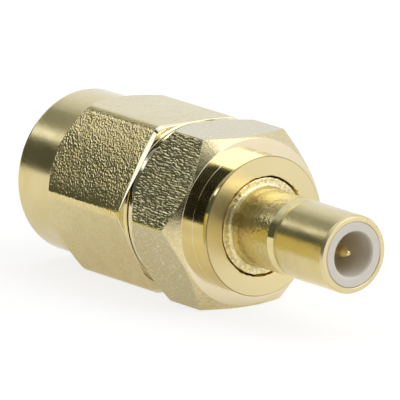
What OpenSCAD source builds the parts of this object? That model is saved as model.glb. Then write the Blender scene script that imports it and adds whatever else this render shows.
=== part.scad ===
// Coaxial adapter: a screw-on plug with a hexagonal coupling nut at one end,
// a push-on barrel with a recessed contact at the other.
// The axis lies along X. x = 0 is the reference plane of the screw-on end, where
// its contact leaves the insulator, and the push-on barrel points to +X.

/* [Coupling nut] */
// Width of the nut across its flats
nut_af = 7.94; // [7.8:0.02:8.2]
// Radius of the nut's rounded corners
nut_corner_r = 0.5; // [0.2:0.05:0.8]
// Length of the nut
nut_len = 8.65; // [8.2:0.05:9.5]
// How far the nut's mouth stands ahead of the reference plane
nut_reach = 3.5; // [3:0.05:3.8]
// Diameter of the round collar at the mouth
collar_d = 7.7; // [7.3:0.05:7.8]
// Length of the round collar
collar_len = 2.5; // [1.5:0.1:3]
// Edge break at the collar's rim
collar_edge = 0.15; // [0.05:0.05:0.25]
// Axial length of the turned cone from the collar to the corners
nut_front_cone = 0.85; // [0.5:0.05:1.2]
// Root diameter of the 36-per-inch thread inside the nut
thread_d = 6.35; // [6.2:0.05:6.45]
// Depth of the thread from the mouth
thread_len = 4.9; // [4:0.1:5.1]
// Countersink at the thread's mouth
mouth_chamfer = 0.2; // [0.1:0.05:0.3]
// Gap between the nut and the body's hexagon
nut_gap = 0.42; // [0.2:0.02:0.7]

/* [Retaining ring] */
// Outer diameter of the split ring
ring_d = 7.04; // [6.9:0.02:7.1]
// Radial width of the ring
ring_w = 0.58; // [0.5:0.02:0.7]
// Axial thickness of the ring
ring_t = 0.5; // [0.3:0.05:0.7]
// Width of the split
ring_split = 1.2; // [0.5:0.1:2]
// Distance from the body's shoulder to the middle of the ring
ring_set = 1.4; // [1:0.05:1.7]

/* [Gasket] */
// Radial width of the gasket
gasket_w = 0.6; // [0.4:0.05:0.7]
// Thickness of the gasket
gasket_t = 0.8; // [0.5:0.05:1]
// Distance from the reference plane back to the gasket's face
gasket_set = 1.85; // [1.6:0.05:2]

/* [Body] */
// Width of the body across its flats
body_af = 8; // [7.8:0.05:8.5]
// Length of the body's hexagon
hex_len = 3.7; // [3:0.1:6]
// Axial length of the cone at the back of the hexagon
body_rear_cone = 0.9; // [0.4:0.05:1.2]
// Diameter of the hexagon's back face
body_rear_d = 8; // [7.4:0.05:8.2]
// Axial length of the cone at the front of the hexagon
body_front_cone = 0.6; // [0.2:0.05:0.8]
// Diameter of the hexagon's front face
body_front_d = 7.92; // [7.6:0.02:8.2]
// Diameter of the round boss
boss_d = 6.55; // [5.8:0.05:7.2]
// Height of the boss
boss_h = 1.05; // [0.6:0.05:1.8]
// Edge break on the boss
boss_edge = 0.06; // [0.02:0.02:0.2]
// Diameter of the spigot that carries the nut
spigot_d = 6.5; // [6.4:0.02:6.56]
// Wall of the outer contact inside the nut
ferrule_wall = 0.225; // [0.2:0.005:0.3]
// Length of the outer contact
ferrule_len = 2; // [1.95:0.05:2.2]
// Height of the step that the gasket sits on
pilot_step = 0.175; // [0.16:0.005:0.25]
// Edge break on the outer contact and the spigot
spigot_edge = 0.1; // [0.05:0.05:0.2]

/* [Push-on shell] */
// Diameter of the neck and barrel
barrel_d = 3.66; // [3.6:0.01:3.8]
// Length of the neck from the boss to the snap groove
neck_len = 2.67; // [2:0.05:4]
// Width of the snap groove
groove_w = 0.42; // [0.3:0.02:0.8]
// Diameter in the snap groove
groove_d = 3.46; // [3.3:0.02:3.56]
// Length of the barrel beyond the groove
barrel_len = 3.66; // [3:0.02:5]
// Edge break around the barrel's tip
tip_edge = 0.07; // [0.02:0.01:0.12]
// Radius of the groove's floor
groove_round = 0.8; // [0.6:0.1:2]
// Fillet between the neck and the shell's seat
neck_fillet = 0.18; // [0.1:0.02:0.25]
// Step from the body's bore out to the seat that holds the shell
seat_step = 0.25; // [0.2:0.05:0.4]
// Depth of the shell inside the body
seat_depth = 3.9; // [2.5:0.1:4.2]

/* [Insulators] */
// Diameter of the screw-on end's insulator
sma_insulator_d = 4.1; // [4.05:0.01:4.15]
// Diameter of the push-on end's insulator
smb_insulator_d = 3.05; // [2.95:0.01:3.15]
// Diameter of the socket around the push-on contact
socket_d = 2.1; // [2:0.02:2.3]
// Depth of the socket
socket_depth = 3.6; // [3:0.1:5]
// Diameter of the flange that holds the push-on insulator back
insulator_flange_d = 3.7; // [3.5:0.05:3.9]
// Thickness of the flange on each insulator
insulator_flange_t = 0.5; // [0.3:0.05:0.6]

/* [Centre contact] */
// Diameter of the screw-on end's pin
sma_pin_d = 0.92; // [0.9:0.01:0.94]
// Length of the pin ahead of the reference plane
sma_pin_len = 2.2; // [2:0.05:2.5]
// Diameter inside the screw-on end's insulator
sma_line_d = 1.27; // [1.24:0.01:1.3]
// Diameter inside the push-on end's insulator
smb_line_d = 0.91; // [0.88:0.01:0.94]
// Diameter of the push-on end's pin
smb_pin_d = 0.5; // [0.48:0.01:0.52]
// Depth of that pin's point below the barrel's tip
smb_pin_recess = 0.35; // [0.1:0.05:0.8]
// Diameter of the shoulder that holds the contact in place
shoulder_d = 1.9; // [1.6:0.05:2.2]
// Thickness of the shoulder
shoulder_t = 0.6; // [0.4:0.05:0.8]

/* [Fits] */
// Radial gap where the nut turns
running_gap = 0.06; // [0.04:0.01:0.1]
// Radial gap between pieces that stay together
seat_gap = 0.01; // [0.005:0.005:0.02]
// Gap beside and around the ring in its grooves
ring_gap = 0.08; // [0.05:0.01:0.12]

/* [Hidden] */
$fn = 96;
eps = 0.01;

// Stations along the axis
mouth_x = -nut_reach;
nut_rear_x = nut_len - nut_reach;
collar_x = mouth_x + collar_len;
thread_end_x = mouth_x + thread_len;
shoulder_x = gasket_set + gasket_t;
ring_x = shoulder_x + ring_set;
hex_back_x = nut_rear_x + nut_gap;
hex_front_x = hex_back_x + hex_len;
boss_x = hex_front_x + boss_h;
groove_x = boss_x + neck_len;
barrel_x = groove_x + groove_w;
tip_x = barrel_x + barrel_len;
shell_back_x = boss_x - seat_depth;
insulator_step_x = shell_back_x - insulator_flange_t;
socket_x = tip_x - socket_depth;
smb_point_x = tip_x - smb_pin_recess;

// Radii worked out from the driving sizes
nut_corner_x = (nut_af / 2 - nut_corner_r) / cos(30);
nut_tip_r = nut_corner_x + nut_corner_r;
body_tip_r = body_af / 2 / cos(30);
relief_r = spigot_d / 2 + running_gap;
ferrule_d = sma_insulator_d + 2 * ferrule_wall;
pilot_d = ferrule_d + 2 * pilot_step;
seat_d = sma_insulator_d + 2 * seat_step;
corner_margin = 0.3;
corner_step = 10;
pin_taper = 0.4 * sma_pin_d;
smb_pin_taper = 0.6 * smb_pin_d;

gold = [0.86, 0.74, 0.52];
ptfe = [0.95, 0.94, 0.97];

// Revolves a profile, drawn as [radius, x], about the X axis
module turned() {
    rotate([0, 90, 0])
        rotate_extrude()
            children();
}

// Stands a drawing across the axis from x0 to x1, its first axis pointing down
module along_x(x0, x1) {
    translate([x0, 0, 0])
        rotate([0, 90, 0])
            linear_extrude(x1 - x0)
                children();
}

// Plain ring or disc between two stations
module tube(x0, x1, outer_r, inner_r) {
    turned()
        translate([inner_r, x0])
            square([outer_r - inner_r, x1 - x0]);
}

// Profile that turns a hexagonal bar's corners down to a cone at its first end.
// The cone is [its small radius, its axial length at the corners]. The profile
// runs on past the corners and the bar's end, so that it never touches them.
module coned_bar(x0, x1, tip_r, first) {
    slope = first[1] / (tip_r - first[0]);
    outer_r = tip_r + corner_margin;
    polygon([
        [0, x0],
        [first[0], x0],
        [outer_r, x0 + slope * (outer_r - first[0])],
        [outer_r, x1 + corner_margin],
        [0, x1 + corner_margin]
    ]);
}

// Profile that turns a hexagonal bar's corners down to a cone at each end
module chamfered_bar(x0, x1, tip_r, first, last) {
    first_slope = first[1] / (tip_r - first[0]);
    last_slope = last[1] / (tip_r - last[0]);
    outer_r = tip_r + corner_margin;
    polygon([
        [0, x0],
        [first[0], x0],
        [outer_r, x0 + first_slope * (outer_r - first[0])],
        [outer_r, x1 - last_slope * (outer_r - last[0])],
        [last[0], x1],
        [0, x1]
    ]);
}

// Hexagon with a flat at the bottom
module hexagon(across_flats) {
    rotate(30)
        circle(d = across_flats / cos(30), $fn = 6);
}

// Hexagon whose corners are arcs tangent to its flats, in steps of corner_step
module rounded_hexagon(across_flats, corner_r) {
    reach = (across_flats / 2 - corner_r) / cos(30);
    rotate(30)
        polygon([for (a = [0:60:300], t = [-30:corner_step:30])
            reach * [cos(a), sin(a)] + corner_r * [cos(a + t), sin(a + t)]]);
}

// Bore of the nut: threaded mouth, relief on the spigot and the ring's groove
module nut_bore() {
    turned() {
        polygon([
            [0, mouth_x - eps],
            [thread_d / 2 + mouth_chamfer + eps, mouth_x - eps],
            [thread_d / 2, mouth_x + mouth_chamfer],
            [thread_d / 2, thread_end_x],
            [relief_r, thread_end_x],
            [relief_r, nut_rear_x - mouth_chamfer / 2],
            [relief_r + mouth_chamfer / 2 + eps, nut_rear_x + eps],
            [0, nut_rear_x + eps]
        ]);
        translate([0, ring_x - ring_t / 2 - ring_gap])
            square([ring_d / 2 + ring_gap, ring_t + 2 * ring_gap]);
    }
}

module coupling_nut() {
    color(gold)
        difference() {
            union() {
                intersection() {
                    along_x(collar_x, nut_rear_x)
                        rounded_hexagon(nut_af, nut_corner_r);
                    turned()
                        coned_bar(collar_x, nut_rear_x, nut_tip_r,
                                  [collar_d / 2, nut_front_cone]);
                }
                turned()
                    polygon([
                        [0, mouth_x],
                        [collar_d / 2 - collar_edge, mouth_x],
                        [collar_d / 2, mouth_x + collar_edge],
                        [collar_d / 2, collar_x + eps],
                        [0, collar_x + eps]
                    ]);
            }
            nut_bore();
        }
}

module retaining_ring() {
    color("darkgoldenrod")
        difference() {
            tube(ring_x - ring_t / 2, ring_x + ring_t / 2, ring_d / 2, ring_d / 2 - ring_w);
            translate([ring_x - ring_t, -ring_split / 2, 0])
                cube([2 * ring_t, ring_split, ring_d]);
        }
}

module gasket() {
    color("firebrick")
        tube(gasket_set, shoulder_x, pilot_d / 2 + gasket_w, pilot_d / 2 + seat_gap);
}

// Body: outer contact, spigot, hexagon and boss, turned and milled from one bar
module body() {
    color(gold)
        difference() {
            union() {
                turned()
                    polygon([
                        [0, 0],
                        [ferrule_d / 2 - spigot_edge, 0],
                        [ferrule_d / 2, spigot_edge],
                        [ferrule_d / 2, ferrule_len],
                        [pilot_d / 2, ferrule_len],
                        [pilot_d / 2, shoulder_x],
                        [spigot_d / 2 - spigot_edge, shoulder_x],
                        [spigot_d / 2, shoulder_x + spigot_edge],
                        [spigot_d / 2, hex_back_x + eps],
                        [0, hex_back_x + eps]
                    ]);
                intersection() {
                    along_x(hex_back_x, hex_front_x)
                        hexagon(body_af);
                    turned()
                        chamfered_bar(hex_back_x, hex_front_x, body_tip_r,
                                      [body_rear_d / 2, body_rear_cone],
                                      [body_front_d / 2, body_front_cone]);
                }
                turned()
                    polygon([
                        [0, hex_front_x - eps],
                        [boss_d / 2, hex_front_x - eps],
                        [boss_d / 2, boss_x - boss_edge],
                        [boss_d / 2 - boss_edge, boss_x],
                        [0, boss_x]
                    ]);
            }
            tube(-eps, boss_x + eps, sma_insulator_d / 2 + seat_gap, 0);
            tube(insulator_step_x, boss_x + eps, seat_d / 2 + seat_gap, 0);
            tube(ring_x - ring_t / 2 - ring_gap, ring_x + ring_t / 2 + ring_gap,
                 spigot_d, ring_d / 2 - ring_w - ring_gap);
        }
}

// Shell of the push-on end: seat, filleted neck, snap groove and barrel
module smb_shell() {
    color(gold)
        difference() {
            turned()
                difference() {
                    union() {
                        translate([0, shell_back_x])
                            square([seat_d / 2, seat_depth]);
                        translate([0, boss_x - eps])
                            square([barrel_d / 2 + neck_fillet, neck_fillet + eps]);
                        polygon([
                            [0, boss_x],
                            [barrel_d / 2, boss_x],
                            [barrel_d / 2, tip_x - 2 * tip_edge],
                            [barrel_d / 2 - tip_edge, tip_x],
                            [0, tip_x]
                        ]);
                    }
                    intersection() {
                        translate([0, groove_x])
                            square([barrel_d, groove_w]);
                        translate([groove_d / 2 + groove_round, (groove_x + barrel_x) / 2])
                            circle(r = groove_round);
                    }
                    translate([barrel_d / 2 + neck_fillet, boss_x + neck_fillet])
                        circle(r = neck_fillet);
                }
            tube(shell_back_x - eps, tip_x + eps, smb_insulator_d / 2 + seat_gap, 0);
            tube(shell_back_x - eps, shell_back_x + insulator_flange_t,
                 insulator_flange_d / 2 + seat_gap, 0);
        }
}

// Insulator of the screw-on end, with a flange at the back that the shell clamps
module sma_insulator() {
    color(ptfe)
        difference() {
            union() {
                tube(0, shell_back_x, sma_insulator_d / 2, 0);
                tube(insulator_step_x, shell_back_x, seat_d / 2, 0);
            }
            tube(-eps, shell_back_x + eps, sma_line_d / 2 + seat_gap, 0);
            tube(shell_back_x - shoulder_t, shell_back_x + eps, shoulder_d / 2 + seat_gap, 0);
        }
}

// Insulator of the push-on end, with the open socket around its contact
module smb_insulator() {
    color(ptfe)
        difference() {
            union() {
                tube(shell_back_x, tip_x, smb_insulator_d / 2, 0);
                tube(shell_back_x, shell_back_x + insulator_flange_t,
                     insulator_flange_d / 2, 0);
            }
            tube(shell_back_x - eps, socket_x + eps, smb_line_d / 2 + seat_gap, 0);
            tube(socket_x, tip_x + eps, socket_d / 2, 0);
        }
}

// One turned contact through both insulators, held at its shoulder
module center_contact() {
    color(gold)
        turned()
            polygon([
                [0, -sma_pin_len],
                [sma_pin_d / 4, -sma_pin_len],
                [sma_pin_d / 2, pin_taper - sma_pin_len],
                [sma_pin_d / 2, 0],
                [sma_line_d / 2, 0],
                [sma_line_d / 2, shell_back_x - shoulder_t],
                [shoulder_d / 2, shell_back_x - shoulder_t],
                [shoulder_d / 2, shell_back_x],
                [smb_line_d / 2, shell_back_x],
                [smb_line_d / 2, socket_x],
                [smb_pin_d / 2, socket_x],
                [smb_pin_d / 2, smb_point_x - smb_pin_taper],
                [smb_pin_d / 5, smb_point_x],
                [0, smb_point_x]
            ]);
}

coupling_nut();
retaining_ring();
gasket();
body();
smb_shell();
sma_insulator();
smb_insulator();
center_contact();
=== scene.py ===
import math

import bpy
import numpy as np
from bpy.props import FloatProperty, FloatVectorProperty, PointerProperty
from bpy.types import Operator, Panel, PropertyGroup
from mathutils import Matrix, Vector


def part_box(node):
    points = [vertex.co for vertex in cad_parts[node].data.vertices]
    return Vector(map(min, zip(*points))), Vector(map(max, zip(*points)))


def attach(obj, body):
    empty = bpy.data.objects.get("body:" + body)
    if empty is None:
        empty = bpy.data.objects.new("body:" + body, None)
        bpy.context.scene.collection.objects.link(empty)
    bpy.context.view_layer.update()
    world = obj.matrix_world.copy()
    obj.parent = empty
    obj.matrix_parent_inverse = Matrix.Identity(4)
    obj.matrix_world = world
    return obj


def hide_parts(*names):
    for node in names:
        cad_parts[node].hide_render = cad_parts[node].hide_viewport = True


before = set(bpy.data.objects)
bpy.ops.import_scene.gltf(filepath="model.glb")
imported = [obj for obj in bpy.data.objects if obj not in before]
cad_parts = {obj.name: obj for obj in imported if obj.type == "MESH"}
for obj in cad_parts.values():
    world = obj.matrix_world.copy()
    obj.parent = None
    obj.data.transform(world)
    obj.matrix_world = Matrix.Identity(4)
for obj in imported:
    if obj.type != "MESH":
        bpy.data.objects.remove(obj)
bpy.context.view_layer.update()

bl_info = {
    "name": "Gold-plated coaxial adapter",
    "version": (1, 0, 0),
    "blender": (4, 5, 0),
    "location": "View3D > Sidebar > Adapter",
    "description": "Pieces, finishes and stage of a coaxial adapter with nut and barrel",
    "category": "Add Mesh",
}

MM = 0.001
TURN = 2 * math.pi
SIXTH = math.pi / 3
FINE = 0.02  # rounding of the small turned edges, in millimetres
ARC_STEPS = 4  # spans round every rounded edge
HOLD = 0.035 * MM  # from the end of a stretch to the point that keeps its shading flat
HEXAGON_GAP = 0.42 * MM  # between the nut's hexagon and the body's
WORN_MEAN, WORN_SWING, WORN_POWER = 0.65, 0.35, 2.5  # wear of the nut's flats
REAR_LEAST = 0.08  # least share of the nut's rear bevel
TURN_STEPS = 96  # sections in one turn of the thread
RUN_OUT = 0.25  # turns over which the thread's ridge rises and sinks
RIDGE_TOP = 1.04  # height of the middle of its crest, as a share of the edges' height
SEAM_SEED, RIM_SEED, FACE_SEED = 5, 11, 12  # of the uneven edges round the shell's seat


def station(node, end, axis=0):
    """Lowest (end 0) or highest (end 1) coordinate of a CAD node, in metres."""
    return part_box(node)[end][axis]


def a_length(name, description, default):
    """A size, given here in millimetres."""
    return FloatProperty(
        name=name, description=description, default=default * MM, min=0.0,
        unit="LENGTH", precision=6,
    )


def a_place(name, description, default):
    """A station along the adapter's axis, in metres."""
    return FloatProperty(
        name=name, description=description, default=default, unit="LENGTH", precision=6
    )


def an_angle(name, description, degrees):
    """An angle, given here in degrees."""
    return FloatProperty(
        name=name, description=description, default=math.radians(degrees), subtype="ANGLE",
        unit="ROTATION",
    )


def a_strength(name, description, default):
    """Strength of a light or of a part of the surroundings."""
    return FloatProperty(name=name, description=description, default=default, min=0.0)


def a_colour(name, description, default):
    """A colour in linear light."""
    return FloatVectorProperty(
        name=name, description=description, default=default, size=3, subtype="COLOR",
        min=0.0, max=1.0,
    )


NUT_MOUTH = station("coupling_nut", 0)
NUT_REAR = station("coupling_nut", 1)
HEX_BACK = NUT_REAR + HEXAGON_GAP
SHELL_BACK = station("smb_shell", 0)
TIP = station("smb_shell", 1)
BOSS_FACE = station("body", 1)
SHOULDER = station("gasket", 1)
RING_MIDDLE = (station("retaining_ring", 0) + station("retaining_ring", 1)) / 2


class NutSizes(PropertyGroup):
    across_flats: a_length(
        "Across flats", "Width of the nut across its flats", 2 * station("coupling_nut", 1, 2) / MM
    )
    corner: a_length("Corner radius", "Rounding of the nut's six corners", 0.5)
    collar: a_length("Collar radius", "Radius of the round collar", 3.85)
    collar_end: a_place("Collar end", "Where the collar meets its cone", NUT_MOUTH + 2.5 * MM)
    rim: a_length("Rim", "Rounding of the collar's rim", 0.15)
    front_cone: a_length("Front cone", "Axial length of the cone at the corners", 0.85)
    rear_edge: a_length("Rear edge", "Widest bevel of the hexagon's rear edge", 0.17)
    rear_side: an_angle("Rear edge side", "Angle round the axis where that bevel is widest", 134)
    rear_spread: an_angle("Rear edge spread", "Angle over which that bevel fades", 31.5127)
    crown: a_length("Crown", "How far a worn flat falls away towards its corner", 0.10)
    root: a_length("Thread root", "Radius of the thread's roots", 3.175)
    relief: a_length("Relief radius", "Radius of the bore on the spigot", 3.31)
    thread_end: a_place("Thread end", "Where the thread stops", NUT_MOUTH + 4.9 * MM)
    countersink: a_length("Countersink", "Countersink at the mouth", 0.2)
    ring_groove: a_length("Ring groove radius", "Floor of the ring's groove", 3.6)
    ring_room: a_length("Ring groove half width", "Half the width of the ring's groove", 0.33)


class ThreadSizes(PropertyGroup):
    pitch: a_length("Pitch", "36 threads to the inch", 25.4 / 36)
    crest: a_length("Crest radius", "Radius to the thread's crests", 2.825)
    start: a_place("Start", "First turn, from the mouth", NUT_MOUTH + 0.35 * MM)
    end: a_place("End", "Last turn", NUT_MOUTH + 4.55 * MM)


class BodySizes(PropertyGroup):
    across_flats: a_length(
        "Across flats", "Width of the body across its flats", 2 * station("body", 1, 2) / MM
    )
    corner: a_length("Corner radius", "Rounding of the body's six corners", 0.1)
    bore: a_length("Bore radius", "Bore for the screw end's insulator", 2.06)
    ferrule: a_length("Ferrule radius", "Radius of the outer contact", 2.275)
    ferrule_end: a_place("Ferrule end", "Where the gasket's step begins", 2.0 * MM)
    pilot: a_length("Pilot radius", "Radius of the step under the gasket", 2.45)
    spigot: a_length("Spigot radius", "Radius of the spigot that carries the nut", 3.25)
    ring_floor: a_length("Ring groove floor", "Radius of the ring's groove", 2.86)
    shoulder: a_length("Shoulder", "Radius of the round shoulder behind the hexagon", 3.9)
    shoulder_length: a_length("Shoulder length", "Length of that shoulder", 0.37)
    ring_room: a_length("Ring groove half width", "Half the width of the groove", 0.33)
    hex_front: a_place("Hexagon front", "Front plane of the hexagon", BOSS_FACE - 1.05 * MM)
    rear_cone: a_length("Rear cone", "Axial length of the rear cone at the corners", 0.9)
    front_cone: a_length("Front cone", "Axial length of the front cone", 0.6)
    front_face: a_length("Front face radius", "Radius of the hexagon's front face", 3.91)
    boss: a_length("Boss radius", "Radius of the round boss", 3.275)
    boss_edge: a_length("Boss edge", "Bevel of the boss's edge", 0.035)
    seat: a_length("Seat radius", "Bore that holds the push-on shell", 2.31)
    seam: a_length("Seam", "Mean width of the seam round the shell", 0.045)
    seam_wave: a_length("Seam wave", "How far the seam's edge strays", 0.035)
    mark: a_length("Seam mark", "Depth of the one notch in the seam's edge", 0.1)
    mark_side: an_angle("Seam mark side", "Angle round the axis of that notch", 36)
    mark_width: an_angle("Seam mark width", "Half the angle that the notch takes up", 1.7)
    insulator_step: a_place("Insulator step", "Step under the insulator", SHELL_BACK - 0.5 * MM)


class ShellSizes(PropertyGroup):
    seat: a_length("Seat radius", "Radius of the shell's seat", 2.3)
    barrel: a_length("Barrel radius", "Radius of neck and barrel", 1.83)
    fillet: a_length("Neck fillet", "Fillet between seat and neck", 0.18)
    groove_back: a_place("Groove back", "Where the locking groove starts", BOSS_FACE + 2.67 * MM)
    groove_front: a_place("Groove front", "Where the locking groove ends", BOSS_FACE + 3.09 * MM)
    groove: a_length("Groove radius", "Least radius of the groove", 1.725)
    tip_edge: a_length("Tip edge", "Edge break around the tip", 0.07)
    bore: a_length("Bore radius", "Bore around the insulator", 1.535)
    flange_bore: a_length("Flange bore", "Counterbore for the insulator's flange", 1.86)
    flange: a_length("Flange thickness", "Thickness of the insulators' flanges", 0.5)


class InsulatorSizes(PropertyGroup):
    screw_end: a_length("Screw end radius", "Radius of the screw end's insulator", 2.05)
    push_end: a_length("Push end radius", "Radius of the push-on end's insulator", 1.525)
    socket: a_length("Socket radius", "Radius of the socket", 1.05)
    socket_floor: a_place("Socket floor", "Bottom of the socket", TIP - 3.6 * MM)
    push_flange: a_length("Push end flange", "Radius of its flange", 1.85)
    screw_line: a_length("Screw end line", "Bore around the contact, screw end", 0.645)
    push_line: a_length("Push end line", "Bore around the contact, push-on end", 0.465)


class ContactSizes(PropertyGroup):
    screw_pin: a_length("Screw end pin", "Radius of the screw end's pin", 0.46)
    screw_line: a_length("Screw end line", "Radius inside the insulator", 0.635)
    shoulder: a_length("Shoulder", "Radius of the shoulder", 0.95)
    shoulder_thickness: a_length("Shoulder thickness", "Length of the shoulder", 0.6)
    push_line: a_length("Push end line", "Radius inside the insulator", 0.455)
    push_pin: a_length("Push end pin", "Radius of the recessed pin", 0.25)


class FinishSettings(PropertyGroup):
    gold: a_colour("Gold", "Plating where light falls straight on it", (0.76, 0.655, 0.345))
    deep_gold: a_colour("Deep gold", "Plating in thicker, yellower patches", (0.70, 0.56, 0.23))
    bright_gold: a_colour("Bright gold", "Plating over the polished boss", (0.80, 0.72, 0.40))
    # Painted highlight: a paler copy of the gold, standing in for the hexagon front's brighter,
    # whiter reflection
    pale_highlight_gold: a_colour("Pale gold", "Plating over the hexagon's front", (0.80, 0.72, 0.57))
    faced_gold: a_colour("Faced gold", "Plating over the faced ends", (0.76, 0.67, 0.42))
    neck_gold: a_colour("Neck gold", "Plating of the neck", (0.72, 0.62, 0.31))
    # Painted highlight: a paler copy of the gold for the bright bevels and the nut's rear face
    rim_highlight_gold: a_colour("Rim gold", "Plating over bevels and behind the nut", (0.88, 0.83, 0.66))
    # Edge gold: a dark colour that draws a thin dark line along the boss's sharp edge
    edge_gold: a_colour("Edge gold", "Worn plating over the boss's sharp edge", (0.34, 0.28, 0.15))
    milled_gold: a_colour("Milled gold", "Plating over the milled flats", (0.65, 0.585, 0.34))
    contact_gold: a_colour("Contact gold", "Heavier plating of the contact", (0.86, 0.70, 0.28))
    bronze: a_colour("Bronze", "Spring bronze of the retaining ring", (0.55, 0.36, 0.20))
    rubber: a_colour("Rubber", "Silicone of the gasket", (0.42, 0.09, 0.05))
    plastic: a_colour("Insulator", "White fluoropolymer", (0.86, 0.81, 0.73))
    # Painted shade with painted warm bounce light, deep in the insulator's socket
    painted_socket_shade: a_colour("Insulator depth", "Insulator deep in the socket", (0.88, 0.79, 0.62))


class StageSettings(PropertyGroup):
    azimuth: an_angle("Azimuth", "Camera's turn round the adapter", 52.72)
    elevation: an_angle("Elevation", "Camera's height over the horizon", 12.84)
    roll: an_angle("Roll", "Camera's roll", 1.32)
    distance: a_length("Distance", "From the camera to the point it aims at", 548.13)
    lens: FloatProperty(name="Lens", description="Focal length in millimetres", default=1080.0)
    aim: FloatVectorProperty(
        name="Aim", description="Point that the camera aims at", size=3, unit="LENGTH",
        default=(8.350 * MM, -2.172 * MM, 1.105 * MM), precision=6,
    )
    floor_reach: a_length("Floor reach", "Half the width of the floor", 400)
    floor_glow: a_strength("Floor glow", "Floor's own light in mirror rays", 0.42)
    room: a_strength("Room", "Strength of the unlit side", 0.09)
    strip: a_strength("Strip", "Strength of the strip light", 1.5)
    lamp: a_strength("Lamp", "Strength of the lamp above the camera", 1.25)
    key: a_strength("Key", "Added strength of the key softbox", 1.7)
    overhead: a_strength("Overhead", "Added strength overhead", 0.3)
    paper: a_strength("Paper", "Strength of the paper behind", 0.89)
    # Card: colour of the card's own gold glow, seen only in mirror rays
    card: a_colour("Card", "Gold card beside the hexagons", (0.66, 0.55, 0.21))


# ---------------------------------------------------------------- surfaces


def from_flat(theta):
    """Angle from the middle of the nearest flat."""
    return np.mod(theta - math.pi / 2 + SIXTH / 2, SIXTH) - SIXTH / 2


def hexagon_reach(theta, apothem, corner):
    """Distance from the axis to a hexagon with flats at top and bottom. On a flat it is
    the apothem over the cosine of the angle from the flat's middle. Near a corner it is
    the far crossing of the ray with the corner's circle, which touches both flats."""
    off = from_flat(theta)
    centre = (apothem - corner) / math.cos(SIXTH / 2)
    touch = math.atan((apothem - corner) * math.tan(SIXTH / 2) / apothem)
    from_corner = SIXTH / 2 - np.abs(off)
    under = np.maximum(corner**2 - (centre * np.sin(from_corner)) ** 2, 0)
    arc = centre * np.cos(from_corner) + np.sqrt(under)
    return np.where(np.abs(off) > touch, arc, apothem / np.cos(off))


def flat_share(theta):
    """Distance from the middle of a flat, as a share of the way to its corner: the tangent
    of the angle from the flat's middle over the tangent of 30 degrees."""
    return np.abs(np.tan(from_flat(theta))) / math.tan(SIXTH / 2)


def corner_reach(apothem, corner):
    """Distance from the axis to the top of a rounded corner."""
    return (apothem - corner) / math.cos(SIXTH / 2) + corner


def hexagon_angles(apothem, corner, on_corner=10, on_flat=30):
    """Angles once round a hexagon: even steps along the arc of every corner, and even
    steps of distance along every flat between them."""
    centre = (apothem - corner) / math.cos(SIXTH / 2)
    turn = np.linspace(-SIXTH / 2, SIXTH / 2, on_corner + 1)
    corner_part = np.arctan2(corner * np.sin(turn), centre + corner * np.cos(turn))
    half = (apothem - corner) * math.tan(SIXTH / 2)
    flat_part = SIXTH / 2 + np.arctan(np.linspace(-half, half, on_flat + 1)[1:-1] / apothem)
    one = np.concatenate([corner_part, flat_part])
    return (one[None, :] + np.arange(6)[:, None] * SIXTH).ravel()


def round_angles(count=192):
    """Even angles once round."""
    return np.arange(count) * TURN / count


def wobble(theta, depth, seed, waves=46):
    """Uneven edge: a sum of sine waves once to `waves` times round, each with a fixed
    random phase and a height that falls slowly, scaled to the given depth."""
    rng = np.random.default_rng(seed)
    order = np.arange(2, waves)
    height = rng.normal(size=order.size) / order**0.35
    phase = rng.uniform(0, TURN, order.size)
    total = (height * np.sin(np.outer(theta, order) + phase)).sum(1)
    return depth * total / np.abs(total).max()


def unit(v):
    """Vectors made one long."""
    return v / np.maximum(np.linalg.norm(v, axis=-1, keepdims=True), 1e-12)


def grid_quads(rows, columns, round_rows, round_columns):
    """Corners of every cell of a grid of points, which closes on itself where asked."""
    last_row, last_column = rows - (not round_rows), columns - (not round_columns)
    i, j = np.meshgrid(np.arange(last_row), np.arange(last_column), indexing="ij")
    i2, j2 = (i + 1) % rows * columns, (j + 1) % columns
    return np.stack([i * columns + j, i2 + j, i2 + j2, i * columns + j2], -1).reshape(-1, 4)


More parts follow.
